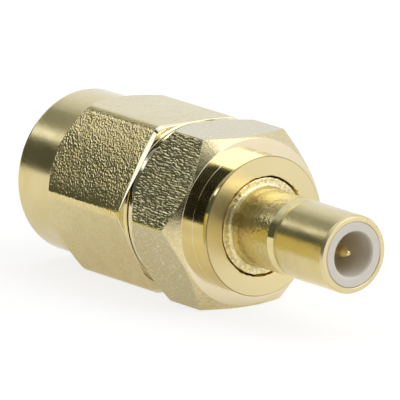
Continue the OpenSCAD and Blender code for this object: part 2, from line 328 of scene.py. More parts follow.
def rounded_profile(rows, count, closed):
    """Sections of a surface swept round the axis, one for each angle. Every row is a
    corner (x, radius, rounding in millimetres, finish of the stretch after it), where x
    and radius are numbers or one value for each angle. Each corner becomes an arc that
    touches both stretches: it starts rounding / tan(half the inner angle) before the
    corner, and its points turn evenly from one tangent point to the other about the arc's
    centre. Every stretch gets two more points near its ends, which keep its shading flat.
    Returns the points, as (angle, point, x and radius), and the finish of each span
    between them."""
    corners = np.array([[np.broadcast_to(value, count) for value in row[:2]] for row in rows])
    corners = corners.transpose(2, 0, 1)
    sizes = np.array([row[2] for row in rows]) * MM
    finish = np.array([row[3] for row in rows])
    before, after = np.roll(corners, 1, 1), np.roll(corners, -1, 1)
    to_before, to_after = unit(before - corners), unit(after - corners)
    inner = np.arccos(np.clip((to_before * to_after).sum(-1), -1 + 1e-9, 1 - 1e-9))
    room = 0.42 * np.minimum(
        np.linalg.norm(before - corners, axis=-1), np.linalg.norm(after - corners, axis=-1)
    )
    reach = np.minimum(sizes / np.tan(inner / 2), room)
    radius = reach * np.tan(inner / 2)
    centre = corners + unit(to_before + to_after) * (radius / np.sin(inner / 2))[..., None]
    first = unit(corners + to_before * reach[..., None] - centre)
    last = unit(corners + to_after * reach[..., None] - centre)
    turn = (math.pi - inner)[..., None]
    arc = np.stack(
        [
            (np.sin((1 - share) * turn) * first + np.sin(share * turn) * last) / np.sin(turn)
            for share in np.linspace(0, 1, ARC_STEPS + 1)
        ],
        2,
    )
    arc = centre[:, :, None] + radius[..., None, None] * arc
    start, stop = arc[:, :, -1], np.roll(arc[:, :, 0], -1, 1)
    if not closed:
        arc[:, 0] = corners[:, :1]
        arc[:, -1] = corners[:, -1:]
        start[:, 0] = corners[:, 0]
        stop[:, -2] = corners[:, -1]
    span = np.linalg.norm(stop - start, axis=-1, keepdims=True)
    near = np.minimum(HOLD / np.maximum(span, 1e-12), 0.25)
    held = np.stack([start + near * (stop - start), stop - near * (stop - start)], 2)
    points = np.concatenate([arc, held], 2)
    half = (ARC_STEPS + 1) // 2
    spans = np.stack([np.roll(finish, 1)] * half + [finish] * (ARC_STEPS - half) + [finish] * 3, 1)
    points, spans = points.reshape(count, -1, 2), spans.ravel()
    if not closed:
        inside = points[:, ARC_STEPS + 1 : -(ARC_STEPS + 3)]
        points = np.concatenate([points[:, :1], inside, points[:, -1:]], 1)
        spans = np.concatenate([spans[ARC_STEPS:-(ARC_STEPS + 3) - 1], spans[-1:]])
        spans = spans[: points.shape[1] - 1]
    return points, spans


def swept_surface(name, rows, theta, finishes, closed=True):
    """Surface carried round the X axis: a point at angle t of section t lies at
    (x, radius cos t, radius sin t). The sections come from rounded_profile. A closed
    profile makes a ring-shaped skin, and an open one starts and ends in a pole."""
    points, spans = rounded_profile(rows, theta.size, closed)
    count, size = points.shape[:2]
    x, radius = points[..., 0], points[..., 1]
    grid = np.stack([x, radius * np.cos(theta)[:, None], radius * np.sin(theta)[:, None]], -1)
    quads = grid_quads(count, size, True, closed)
    slots = np.tile(spans[: size if closed else size - 1], count)
    if not closed:
        pole = np.arange(count * size)
        pole[::size] = 0
        pole[size - 1 :: size] = size - 1
        quads = pole[quads]
    return build_mesh(name, grid.reshape(-1, 3), quads, slots, finishes)


def build_mesh(name, points, quads, slots, finishes):
    """Mesh from a grid of points and its quads, whose repeated corners at a pole make
    triangles. Faces point outwards: the sum of triangle volumes to the origin is made
    positive. A vertex normal is the sum of the area vectors of the faces around it."""
    used, inverse = np.unique(quads, return_inverse=True)
    points, quads = points[used], inverse.reshape(quads.shape)
    a, b, c, d = (points[quads[:, k]] for k in range(4))
    volume = (a * np.cross(b, c)).sum() + (a * np.cross(c, d)).sum()
    if volume < 0:
        quads = quads[:, ::-1]
    keep = quads != np.roll(quads, -1, 1)
    totals = keep.sum(1)
    good = totals >= 3
    quads, keep, totals, slots = quads[good], keep[good], totals[good], slots[good]
    loops = quads[keep]
    starts = np.concatenate([[0], np.cumsum(totals)[:-1]])
    mesh = bpy.data.meshes.new(name)
    mesh.vertices.add(len(points))
    mesh.vertices.foreach_set("co", points.astype(np.float32).ravel())
    mesh.loops.add(len(loops))
    mesh.loops.foreach_set("vertex_index", loops.astype(np.int32))
    mesh.polygons.add(len(totals))
    mesh.polygons.foreach_set("loop_start", starts.astype(np.int32))
    for finish in finishes:
        mesh.materials.append(bpy.data.materials[finish])
    mesh.polygons.foreach_set("material_index", slots.astype(np.int32))
    mesh.update(calc_edges=True)
    mesh.validate()
    p = points[quads]
    area = np.cross(p[:, 2] - p[:, 0], p[:, 3] - p[:, 1])
    normals = np.zeros_like(points)
    for k in range(4):
        np.add.at(normals, quads[:, k], area)
    mesh.polygons.foreach_set("use_smooth", np.ones(len(mesh.polygons), bool))
    mesh.normals_split_custom_set_from_vertices(unit(normals).astype(np.float32))
    piece = bpy.data.objects.new(name, mesh)
    bpy.context.scene.collection.objects.link(piece)
    return piece


def mounted(piece, body, slot, *nodes):
    """Lets a piece ride on its body and stand for its CAD nodes; its slot is not used."""
    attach(piece, body)
    if nodes:
        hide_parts(*nodes)


# ---------------------------------------------------------------- node helpers


class Value:
    """Output of a node. Its sums, differences and products become Math nodes."""

    def __init__(self, tree, socket):
        self.tree, self.socket = tree, socket

    def __add__(self, other):
        return maths(self.tree, "ADD", self, other)

    def __sub__(self, other):
        return maths(self.tree, "SUBTRACT", self, other)

    def __rsub__(self, other):
        return maths(self.tree, "SUBTRACT", other, self)

    def __mul__(self, other):
        return maths(self.tree, "MULTIPLY", self, other)

    def or_more(self, other):
        """The larger of the two."""
        return maths(self.tree, "MAXIMUM", self, other)

    def ramp(self, low, high, to_low=0.0, to_high=1.0):
        """Smooth step from one level to another while the value goes from low to high."""
        inputs = {"Value": self, "From Min": low, "From Max": high}
        inputs |= {"To Min": to_low, "To Max": to_high}
        smooth = {"interpolation_type": "SMOOTHSTEP"}
        return made(self.tree, "ShaderNodeMapRange", "Result", inputs, **smooth)


def made(tree, kind, output, inputs, **options):
    """A new node with its options set and its inputs set or linked; returns one output."""
    node = tree.nodes.new(kind)
    for option, value in options.items():
        setattr(node, option, value)
    for socket, value in inputs.items():
        if isinstance(value, Value):
            tree.links.new(value.socket, node.inputs[socket])
        else:
            node.inputs[socket].default_value = value
    return Value(tree, node.outputs[output])


def connect(node, **inputs):
    """Links values to a node's inputs, whose spaces are written as underscores."""
    for socket, value in inputs.items():
        value.tree.links.new(value.socket, node.inputs[socket.replace("_", " ")])


def maths(tree, operation, *values):
    """Math node with numbers or values as its inputs."""
    return made(tree, "ShaderNodeMath", 0, dict(enumerate(values)), operation=operation)


def scaled(vector, factor):
    """Vector or colour times a number."""
    inputs = {0: vector, "Scale": factor}
    return made(vector.tree, "ShaderNodeVectorMath", 0, inputs, operation="SCALE")


def facing(vector, direction):
    """Dot product of a vector with a direction made one long."""
    inputs = {0: vector, 1: Vector(direction).normalized()}
    return made(vector.tree, "ShaderNodeVectorMath", "Value", inputs, operation="DOT_PRODUCT")


def in_millimetres(tree):
    """Object coordinates of the piece, in millimetres."""
    return scaled(made(tree, "ShaderNodeTexCoord", "Object", {}), 1000.0)


def parts_of(vector):
    """The three numbers of a vector or colour."""
    first = made(vector.tree, "ShaderNodeSeparateXYZ", 0, {0: vector})
    return [Value(vector.tree, output) for output in first.socket.node.outputs]


def joined(x, y, z):
    """Vector of three values."""
    return made(x.tree, "ShaderNodeCombineXYZ", 0, {0: x, 1: y, 2: z})


def off_axis(y, z):
    """Distance from the adapter's axis."""
    return maths(y.tree, "SQRT", y * y + z * z)


def noise(vector, scale=1.0, detail=2.0, rough=0.5):
    inputs = {"Vector": vector, "Scale": scale, "Detail": detail, "Roughness": rough}
    return made(vector.tree, "ShaderNodeTexNoise", "Fac", inputs)


def blend(share, first, second):
    """Mix of two colours."""
    return made(share.tree, "ShaderNodeMix", 2, {0: share, 6: first, 7: second}, data_type="RGBA")


def bump(height, distance, strength=1.0):
    """Normal of a surface with a height pattern."""
    inputs = {"Strength": strength, "Distance": distance, "Height": height}
    return made(height.tree, "ShaderNodeBump", "Normal", inputs)


def new_group(name, inputs, *outputs):
    """Empty shader node group with number or colour sockets. Returns its tree, its inputs
    by name and its output node."""
    group = bpy.data.node_groups.new(name, "ShaderNodeTree")
    new_socket = group.interface.new_socket
    for socket, default in inputs.items():
        kind = "NodeSocketColor" if isinstance(default, tuple) else "NodeSocketFloat"
        new_socket(name=socket, in_out="INPUT", socket_type=kind).default_value = default
    for socket in outputs:
        kind = "NodeSocketColor" if socket == "Color" else "NodeSocketFloat"
        new_socket(name=socket, in_out="OUTPUT", socket_type=kind)
    start, end = group.nodes.new("NodeGroupInput"), group.nodes.new("NodeGroupOutput")
    return group, {socket: Value(group, start.outputs[socket]) for socket in inputs}, end


def placed(tree, group, **values):
    """A node group in a material, with its own values. Returns its outputs by name."""
    node = tree.nodes.new("ShaderNodeGroup")
    node.node_tree = bpy.data.node_groups[group]
    for socket, value in values.items():
        node.inputs[socket.replace("_", " ")].default_value = value
    return {output.name: Value(tree, output) for output in node.outputs}


def new_material(name):
    """Material with a Principled shader; returns its tree and the shader."""
    material = bpy.data.materials.new(name)
    material.use_nodes = True
    return material.node_tree, material.node_tree.nodes["Principled BSDF"]


def bare_tree(owner, kind):
    """Node tree of a material or world with nothing in it but a new output."""
    owner.use_nodes = True
    owner.node_tree.nodes.clear()
    return owner.node_tree, owner.node_tree.nodes.new(kind)


def opaque(colour):
    """Colour with its fourth value."""
    return (*colour, 1.0)


# ---------------------------------------------------------------- patterns and finishes


WHITE = (1.0, 1.0, 1.0, 1.0)
PIT_BROWN = (0.16, 0.12, 0.06, 1.0)
# Painted glint on the milling nicks
PAINTED_NICK_GLINT = (1.0, 0.95, 0.8, 1.0)
CLOUDY_WHITE = (0.70, 0.68, 0.72, 1.0)
RUBBER_BLOOM = (0.55, 0.16, 0.10, 1.0)


def make_blast_group():
    """Sandblasted grain: fine three-dimensional noise over a coarser one, and a speckle
    that gives every small cell its own random value."""
    group, start, end = new_group(
        "blasted_grain", {"Marks per mm": 9.0, "Detail": 3.0}, "Height", "Speckle"
    )
    place = in_millimetres(group)
    small = scaled(place, start["Marks per mm"])
    cell = made(group, "ShaderNodeTexVoronoi", "Color", {"Vector": small, "Scale": 1.0})
    fine, coarse = noise(small, 1.0, start["Detail"], 0.7), noise(place, 2.2, 1.0)
    connect(end, Height=fine + coarse * 0.6, Speckle=parts_of(cell)[1])


def make_milling_group():
    """Cutter marks along the axis: short dashes from noise stretched along X, a speckle of
    finer dashes, and nicks where that speckle peaks inside slow patches, which make_gold
    makes rougher and paints with a glint."""
    group, start, end = new_group(
        "milling_marks", {"Marks per mm": 9.0}, "Height", "Nicks", "Speckle"
    )
    x, y, z = parts_of(in_millimetres(group))
    across_y, across_z = y * start["Marks per mm"], z * start["Marks per mm"]
    lines = noise(joined(x * 3.2, across_y, across_z), 1.0, 0.5, 0.6)
    bands = noise(joined(x * 3.0, y, z), 1.0, 1.0)
    fine = noise(joined(x * 5.0, across_y, across_z), 1.0, 1.5)
    glinting_nicks = fine.ramp(0.61, 0.66) * bands.ramp(0.46, 0.54)
    connect(end, Height=lines + fine * 0.7, Nicks=glinting_nicks, Speckle=fine.ramp(0.35, 0.65))


def make_turning_group():
    """Lathe lines: noise over station and radius only, so it runs round the axis, with a
    slow waviness along the lines and a little grain."""
    group, start, end = new_group("turning_lines", {"Marks per mm": 12.0}, "Height")
    place = in_millimetres(group)
    x, y, z = parts_of(place)
    density = start["Marks per mm"]
    turned = joined(x * density, off_axis(y, z) * density, noise(place, 0.6, 0.0))
    connect(end, Height=noise(turned, 1.0, 2.0, 0.6) + noise(place, 14.0, 1.5) * 0.5)


def make_pit_group():
    """Small pits and dust: cells of a Voronoi pattern with only the closest part of some
    cells kept, inside slow patches."""
    group, start, end = new_group("fine_pits", {"Marks per mm": 4.5, "Size": 0.15}, "Mask")
    place = in_millimetres(group)
    inputs = {"Vector": place, "Scale": start["Marks per mm"]}
    cell = made(group, "ShaderNodeTexVoronoi", "Color", inputs)
    distance = Value(group, cell.socket.node.outputs["Distance"])
    close = maths(group, "LESS_THAN", distance, start["Size"])
    patches = noise(place, 1.1, 1.0).ramp(0.5, 0.6)
    kept = maths(group, "GREATER_THAN", parts_of(cell)[0] * patches, 0.55)
    connect(end, Mask=close * kept)


def make_tone_group():
    """Slow drift of plating colour between two tones, in soft patches a millimetre or two
    across."""
    group, start, end = new_group(
        "plating_tone", {"Light": WHITE, "Deep": WHITE, "Share": 0.5}, "Color", "Drift"
    )
    drift = noise(in_millimetres(group), 0.9, 2.0).ramp(0.35, 0.68)
    connect(end, Color=blend(drift * start["Share"], start["Light"], start["Deep"]), Drift=drift)


def make_gold(
    name, light, deep, share, rough, drift, pattern, density, depth,
    coat=0.0, pits=0.0, speckle=0.0, **more,
):
    """Plated metal: a tone and a roughness that drift, and one surface pattern as bump, so
    many marks to the millimetre and so many millimetres deep. A speckle lightens and
    darkens small spots evenly, pits darken and dull theirs, milling nicks get a painted
    glint of near-white colour and a rougher surface, and a thin clear coat pales what is
    seen at a low angle."""
    tree, shader = new_material(name)
    shader.inputs["Metallic"].default_value = 1.0
    shader.inputs["Coat Weight"].default_value = coat
    shader.inputs["Coat Roughness"].default_value = 0.12
    tone = placed(tree, "plating_tone", Light=opaque(light), Deep=opaque(deep), Share=share)
    colour, roughness = tone["Color"], tone["Drift"] * drift + rough
    surface = placed(tree, pattern, Marks_per_mm=density, **more)
    if speckle:
        colour = scaled(colour, surface["Speckle"] * (2 * speckle) + (1 - speckle))
    # Painted glint: the milling nicks are blended towards a near-white colour and made rougher
    if "Nicks" in surface:
        colour = blend(surface["Nicks"] * 0.9, colour, PAINTED_NICK_GLINT)
        roughness = surface["Nicks"] * 0.55 + roughness
    if pits:
        mask = placed(tree, "fine_pits")["Mask"]
        colour = blend(mask * pits, colour, PIT_BROWN)
        roughness = mask * 0.3 + roughness
    normal = bump(surface["Height"], depth * MM)
    connect(shader, Base_Color=colour, Roughness=roughness, Normal=normal)


class MakeFinishes(Operator):
    """Builds the shared node groups and every finish of the adapter"""

    bl_idname = "coax.make_finishes"
    bl_label = "Finishes"

    def execute(self, context):
        look = context.scene.coax_finish
        make_blast_group()
        make_milling_group()
        make_turning_group()
        make_pit_group()
        make_tone_group()
        gold, deep, bright, faced = look.gold, look.deep_gold, look.bright_gold, look.faced_gold
        neck, rim, edge, milled = look.neck_gold, look.rim_highlight_gold, look.edge_gold, look.milled_gold
        grain, cuts, lines = "blasted_grain", "milling_marks", "turning_lines"
        soft, worn = {"coat": 0.5, "speckle": 0.06}, {"pits": 0.7, "speckle": 0.25}
        # name, light tone, deep tone and its share, roughness and its drift, pattern,
        # marks to the millimetre, their depth in millimetres, and what else is set
        recipes = (
            ("blasted", gold, deep, 0.35, 0.12, 0.05, grain, 10.0, 0.0135, soft | {"Detail": 0.6}),
            ("satin", gold, deep, 0.35, 0.16, 0.05, grain, 10.0, 0.004, {"coat": 0.8}),
            ("barrel", gold, deep, 0.35, 0.20, 0.05, grain, 8.0, 0.007, {"coat": 0.5}),
            ("neck", neck, neck, 0.35, 0.24, 0.05, grain, 5.0, 0.024, {"Detail": 1.0}),
            ("milled", milled, deep, 0.2, 0.10, 0.05, cuts, 12.0, 0.009, soft | {"coat": 0.7}),
            ("turned", gold, deep, 0.5, 0.24, 0.06, lines, 14.0, 0.003, {"pits": 0.3}),
            ("polished", bright, gold, 0.5, 0.05, 0.04, lines, 7.0, 0.0006, {}),
            # painted highlight: the hexagon's front takes the paler gold
            ("front", look.pale_highlight_gold, bright, 0.3, 0.10, 0.04, lines, 12.0, 0.001, {}),
            ("faced", faced, gold, 0.4, 0.28, 0.05, lines, 16.0, 0.003, {"pits": 0.6}),
            ("seat", faced, gold, 0.5, 0.26, 0.08, grain, 8.5, 0.018, worn),
            ("cone", faced, gold, 0.4, 0.18, 0.08, grain, 10.0, 0.007, soft | {"speckle": 0.08}),
            # painted highlight: the rim and gap finishes take the paler rim gold
            ("rim", rim, gold, 0.1, 0.08, 0.04, lines, 9.0, 0.001, {}),
            ("edge", edge, edge, 0.0, 0.35, 0.1, grain, 9.0, 0.004, {}),
            ("gap", rim, rim, 0.0, 0.06, 0.05, grain, 7.0, 0.003, {}),
            ("contact", look.contact_gold, deep, 0.3, 0.16, 0.05, lines, 16.0, 0.002, {}),
        )
        for name, *values, more in recipes:
            make_gold("gold_" + name, *values, **more)
        make_gold("bronze_ring", look.bronze, look.bronze, 0.0, 0.32, 0.08, lines, 10.0, 0.003)
        self.insulator(look)
        self.rubber(look)
        return {"FINISHED"}

    def insulator(self, look):
        """White fluoropolymer: faint lathe lines and cloudiness, and a warmer, darker tone
        down inside the socket, which is painted shade and painted warm light bounced from the gold
        pin."""
        tree, shader = new_material("insulator_white")
        place = in_millimetres(tree)
        x, y, z = parts_of(place)
        # Painted shade and painted warm bounce light: the colour turns warmer and darker deep in
        # the socket
        socket_shade_mask = off_axis(y, z).ramp(1.12, 1.04) * x.ramp(TIP / MM, TIP / MM - 2.4)
        cloud = noise(place, 1.4, 2.0)
        plain = blend(cloud * 0.12, opaque(look.plastic), CLOUDY_WHITE)
        lathed = placed(tree, "turning_lines", Marks_per_mm=8.0)["Height"]
        connect(
            shader,
            Base_Color=blend(socket_shade_mask, plain, opaque(look.painted_socket_shade)),
            Normal=bump(lathed, 0.002 * MM, 0.6),
            Roughness=cloud * 0.15 + 0.38,
        )
        shader.inputs["Subsurface Weight"].default_value = 0.25
        shader.inputs["Subsurface Radius"].default_value = (0.4, 0.35, 0.3)
        shader.inputs["Subsurface Scale"].default_value = 0.5 * MM

    def rubber(self, look):
        """Silicone rubber with a fine moulded grain and a soft cloudiness."""
        tree, shader = new_material("gasket_silicone")
        cloud = noise(in_millimetres(tree), 1.2, 2.0)
        moulded = placed(tree, "blasted_grain", Marks_per_mm=14.0)["Height"]
        connect(
            shader,
            Base_Color=blend(cloud, opaque(look.rubber), RUBBER_BLOOM),
            Normal=bump(moulded, 0.004 * MM),
            Roughness=cloud * 0.2 + 0.45,
        )


# ---------------------------------------------------------------- pieces


def step(x, start, stop, finish):
    """Rows of two finely rounded corners at one station."""
    return (x, start, FINE, finish), (x, stop, FINE, finish)


def golds(*names):
    """Names of plated finishes, in the order of the rows' numbers."""
    return ["gold_" + name for name in names]


class AddNut(Operator):
    """Coupling nut: collar, cone, hexagon with rounded corners, and bore"""

    bl_idname = "coax.add_nut"
    bl_label = "Coupling nut"

    def execute(self, context):
        s = context.scene.coax_nut
        flats = s.across_flats / 2
        theta = hexagon_angles(flats, s.corner)
        reach = hexagon_reach(theta, flats, s.corner)
        tip = corner_reach(flats, s.corner)
        worn_side = WORN_MEAN - WORN_SWING * np.sin(6 * (theta - math.pi / 2))
        reach = reach - s.crown * worn_side * flat_share(theta) ** WORN_POWER
        cone_front = s.collar_end + s.front_cone * (reach - s.collar) / (tip - s.collar)
        aside = np.mod(theta - s.rear_side + math.pi, TURN) - math.pi
        widest = np.exp(-((aside / s.rear_spread) ** 2))
        bevel = s.rear_edge * (REAR_LEAST + (1 - REAR_LEAST) * widest)
        satin, flat, turned, bore, rim, gap = range(6)
        rows = [
            (NUT_MOUTH, s.root + s.countersink, 0.03, turned),
            (NUT_MOUTH, s.collar, s.rim / MM, satin),
            (s.collar_end, s.collar, 0.05, satin),
            (cone_front, reach, 0.09, flat),
            (NUT_REAR - bevel, reach, 0.04, rim),
            (NUT_REAR, reach - bevel, 0.03, gap),
            (NUT_REAR, s.relief + 0.1 * MM, FINE, turned),
            (NUT_REAR - 0.1 * MM, s.relief, FINE, bore),
            (RING_MIDDLE + s.ring_room, s.relief, FINE, bore),
            (RING_MIDDLE + s.ring_room, s.ring_groove, 0.03, bore),
            (RING_MIDDLE - s.ring_room, s.ring_groove, 0.03, bore),
            (RING_MIDDLE - s.ring_room, s.relief, FINE, bore),
            *step(s.thread_end, s.relief, s.root, bore),
            (NUT_MOUTH + s.countersink, s.root, FINE, turned),
        ]
        finishes = golds("satin", "blasted", "turned", "turned", "rim", "gap")
        piece = swept_surface("coupling_nut_skin", rows, theta, finishes)
        mounted(piece, "nut", "nut_gold", "coupling_nut")
        return {"FINISHED"}


class AddThread(Operator):
    """Thread ridge that winds through the nut's bore"""

    bl_idname = "coax.add_thread"
    bl_label = "Nut thread"

    def execute(self, context):
        """A ridge section carried along a right-hand helix: at turn t the point lies at
        x = start + pitch t plus the section's own x, at the section's radius and the angle
        of t. The ridge rises from the root over its first quarter turn and sinks back over
        its last."""
        s, nut = context.scene.coax_thread, context.scene.coax_nut
        turns = (s.end - s.start) / s.pitch
        t = np.linspace(0, turns, int(turns * TURN_STEPS))
        rise = np.clip(np.minimum(t, turns - t) / RUN_OUT, 0.02, 1) ** 0.7
        base = nut.root + 0.02 * MM
        half = np.array([(0.40, 0), (0.10, 1), (0.06, RIDGE_TOP)])
        section = np.concatenate([half * (-1, 1), half[::-1]])
        offset = section[:, 0] * s.pitch
        radius = base - rise[:, None] * section[:, 1] * (base - s.crest) / RIDGE_TOP
        x = s.start + s.pitch * t[:, None] + offset
        angle = TURN * t[:, None]
        points = np.stack([x, radius * np.cos(angle), radius * np.sin(angle)], -1).reshape(-1, 3)
        cap = np.array([[0, 1, 4, 5], [1, 2, 3, 4]])
        last = len(points) - len(section)
        quads = np.concatenate([grid_quads(*x.shape, False, True), cap, last + cap[:, ::-1]])
        piece = build_mesh("nut_thread", points, quads, np.zeros(len(quads), int), golds("turned"))
        mounted(piece, "nut", "nut_gold")
        return {"FINISHED"}


class AddBody(Operator):
    """Body: outer contact, spigot, milled hexagon and faced boss"""

    bl_idname = "coax.add_body"
    bl_label = "Body"

    def execute(self, context):
        s = context.scene.coax_body
        flats = s.across_flats / 2
        theta = hexagon_angles(flats, s.corner, on_corner=6, on_flat=42)
        reach = hexagon_reach(theta, flats, s.corner)
        tip = corner_reach(flats, s.corner)
        slim = reach - 0.03 * MM
        back_r = np.minimum(flats, slim)
        back_x = HEX_BACK + s.rear_cone * (reach - back_r) / (tip - flats)
        front_r = np.minimum(s.front_face, slim)
        front_x = s.hex_front - s.front_cone * (reach - front_r) / (tip - s.front_face)
        mark = s.mark * np.exp(-(((theta - s.mark_side) / s.mark_width) ** 2))
        seam = s.seat + s.seam + wobble(theta, s.seam_wave, SEAM_SEED) + mark
        flat, turned, polished, faced, front, cone, gap, edge = range(8)
        rows = [
            (0.0, s.bore, FINE, turned),
            (0.0, s.ferrule - 0.1 * MM, 0.03, turned),
            (0.1 * MM, s.ferrule, 0.03, turned),
            *step(s.ferrule_end, s.ferrule, s.pilot, turned),
            (SHOULDER, s.pilot, FINE, turned),
            (SHOULDER, s.spigot - 0.1 * MM, 0.03, turned),
            (SHOULDER + 0.1 * MM, s.spigot, 0.03, turned),
            (RING_MIDDLE - s.ring_room, s.spigot, FINE, turned),
            (RING_MIDDLE - s.ring_room, s.ring_floor, 0.03, turned),
            (RING_MIDDLE + s.ring_room, s.ring_floor, 0.03, turned),
            (RING_MIDDLE + s.ring_room, s.spigot, FINE, turned),
            (HEX_BACK - s.shoulder_length, s.spigot, 0.03, gap),
            (HEX_BACK - s.shoulder_length, s.shoulder, 0.04, gap),
            (HEX_BACK, s.shoulder, 0.01, gap),
            (HEX_BACK, back_r, 0.03, gap),
            (back_x, reach, 0.05, flat),
            (front_x, reach, 0.04, cone),
            (s.hex_front, front_r, 0.05, front),
            (s.hex_front, s.boss, 0.015, polished),
            (BOSS_FACE - s.boss_edge, s.boss, 0.0, edge),
            (BOSS_FACE, s.boss - s.boss_edge, 0.0, faced),
            (BOSS_FACE, seam, 0.04, turned),
            (BOSS_FACE - 0.22 * MM, s.seat, FINE, turned),
            *step(s.insulator_step, s.seat, s.bore, turned),
        ]
        finishes = golds("milled", "turned", "polished", "faced", "front", "cone", "gap", "edge")
        piece = swept_surface("adapter_body", rows, theta, finishes)
        mounted(piece, "adapter", "body_gold", "body")
        return {"FINISHED"}


class AddShell(Operator):
    """Push-on shell: seat, filleted neck, locking groove and barrel"""

    bl_idname = "coax.add_shell"
    bl_label = "Push-on shell"

    def execute(self, context):
        s = context.scene.coax_shell
        theta = round_angles(240)
        rim = s.seat - 0.05 * MM + wobble(theta, 0.02 * MM, RIM_SEED)
        face = BOSS_FACE - 0.02 * MM + wobble(theta, 0.012 * MM, FACE_SEED)
        satin, faced, polished, turned, neck, seat = range(6)
        rows = [
            *step(SHELL_BACK, s.flange_bore, s.seat, turned),
            (BOSS_FACE - 0.25 * MM, s.seat, FINE, turned),
            (face - 0.03 * MM, rim, 0.05, seat),
            (BOSS_FACE - 0.03 * MM, s.barrel, s.fillet / MM, neck),
            (s.groove_back, s.barrel, FINE, polished),
            (s.groove_front - 0.05 * MM, s.groove, FINE, polished),
            (s.groove_front, s.barrel - 0.03 * MM, FINE, turned),
            (s.groove_front + 0.25 * MM, s.barrel, FINE, satin),
            (TIP - 2 * s.tip_edge, s.barrel, 0.06, faced),
            (TIP, s.barrel - s.tip_edge, 0.04, faced),
            (TIP, s.bore, 0.03, turned),
            *step(SHELL_BACK + s.flange, s.bore, s.flange_bore, turned),
        ]
        finishes = golds("barrel", "faced", "polished", "turned", "neck", "seat")
        piece = swept_surface("push_on_shell", rows, theta, finishes)
        mounted(piece, "adapter", "shell_gold", "smb_shell")
        return {"FINISHED"}


class AddInsulators(Operator):
    """White insulators of both ends"""

    bl_idname = "coax.add_insulators"
    bl_label = "Insulators"

    def execute(self, context):
        scene = context.scene
        s, shell = scene.coax_insulator, scene.coax_shell
        body, contact = scene.coax_body, scene.coax_contact
        room, shoulder = contact.shoulder + 0.01 * MM, SHELL_BACK - contact.shoulder_thickness
        theta = round_angles()
        rows = [
            (0.0, s.screw_line, 0.03, 0),
            (0.0, s.screw_end, 0.05, 0),
            *step(body.insulator_step, s.screw_end, shell.seat, 0),
            *step(SHELL_BACK, shell.seat, room, 0),
            *step(shoulder, room, s.screw_line, 0),
        ]
        piece = swept_surface("screw_end_insulator", rows, theta, ("insulator_white",))
        mounted(piece, "adapter", "insulator_ptfe", "sma_insulator")
        rows = [
            *step(SHELL_BACK, s.push_line, s.push_flange, 0),
            *step(SHELL_BACK + shell.flange, s.push_flange, s.push_end, 0),
            (TIP, s.push_end, 0.05, 0),
            (TIP, s.socket + 0.06 * MM, 0.05, 0),
            (TIP - 0.12 * MM, s.socket, 0.05, 0),
            (s.socket_floor, s.socket, 0.05, 0),
            (s.socket_floor, s.push_line, FINE, 0),
        ]
        piece = swept_surface("push_on_insulator", rows, theta, ("insulator_white",))
        mounted(piece, "adapter", "insulator_ptfe", "smb_insulator")
        return {"FINISHED"}


class AddContact(Operator):
    """Centre contact with a pin at each end"""

    bl_idname = "coax.add_contact"
    bl_label = "Centre contact"

    def execute(self, context):
        s, insulator = context.scene.coax_contact, context.scene.coax_insulator
        back, front = station("center_contact", 0), station("center_contact", 1)
        rows = [
            (back, 0.0, 0.0, 0),
            (back, s.screw_pin / 2, 0.06, 0),
            (back + 0.8 * s.screw_pin, s.screw_pin, 0.08, 0),
            (0.0, s.screw_pin, FINE, 0),
            (0.0, s.screw_line, 0.03, 0),
            *step(SHELL_BACK - s.shoulder_thickness, s.screw_line, s.shoulder, 0),
            *step(SHELL_BACK, s.shoulder, s.push_line, 0),
            (insulator.socket_floor, s.push_line, 0.04, 0),
            (insulator.socket_floor, s.push_pin, 0.03, 0),
            (front - 1.2 * s.push_pin, s.push_pin, 0.1, 0),
            (front, 0.4 * s.push_pin, 0.09, 0),
            (front, 0.0, 0.0, 0),
        ]
        theta = round_angles(96)
        piece = swept_surface("centre_contact", rows, theta, golds("contact"), closed=False)
        mounted(piece, "adapter", "contact_gold", "center_contact")
        return {"FINISHED"}


class FinishKeptNodes(Operator):
    """Finishes of the retaining ring and the gasket, whose CAD shapes are kept"""

    bl_idname = "coax.finish_kept_nodes"
    bl_label = "Ring and gasket"

    def execute(self, context):
        for node, finish in (("retaining_ring", "bronze_ring"), ("gasket", "gasket_silicone")):
            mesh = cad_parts[node].data
            mesh.materials.clear()
            mesh.materials.append(bpy.data.materials[finish])
        return {"FINISHED"}


# ---------------------------------------------------------------- stage


KEY_SIDE = (0.775, 0.33, 0.54)
LAMP_SIDE = (0.60, -0.62, 0.50)
ROOM_TINT = (1.0, 1.05, 0.84, 1.0)
WARM_WHITE = (1.03, 0.985, 0.89, 1.0)
PALE_PAINT = (0.61, 0.59, 0.545, 1.0)
DARK_PAINT = (0.03, 0.03, 0.03, 1.0)
SHADOW_PAINT = (0.27, 0.27, 0.27, 1.0)
FLOOR_TO_CAMERA = 0.80  # the floor's own light as the camera sees it
CARD_SPAN, CARD_SIDE, CARD_TOP = (-0.5 * MM, 9.5 * MM), -8.7 * MM, 2.2 * MM


def stage_plane(name, corners):
    """Flat piece of the stage between four corners."""
    mesh = bpy.data.meshes.new(name)
    mesh.from_pydata(corners, [], [(0, 1, 2, 3)])
    plane = bpy.data.objects.new(name, mesh)
    bpy.context.scene.collection.objects.link(plane)
    return plane


def stage_material(plane, name):
    """Gives a plane a material with nothing in it but its output."""
    material = bpy.data.materials.new(name)
    plane.data.materials.append(material)
    return bare_tree(material, "ShaderNodeOutputMaterial")


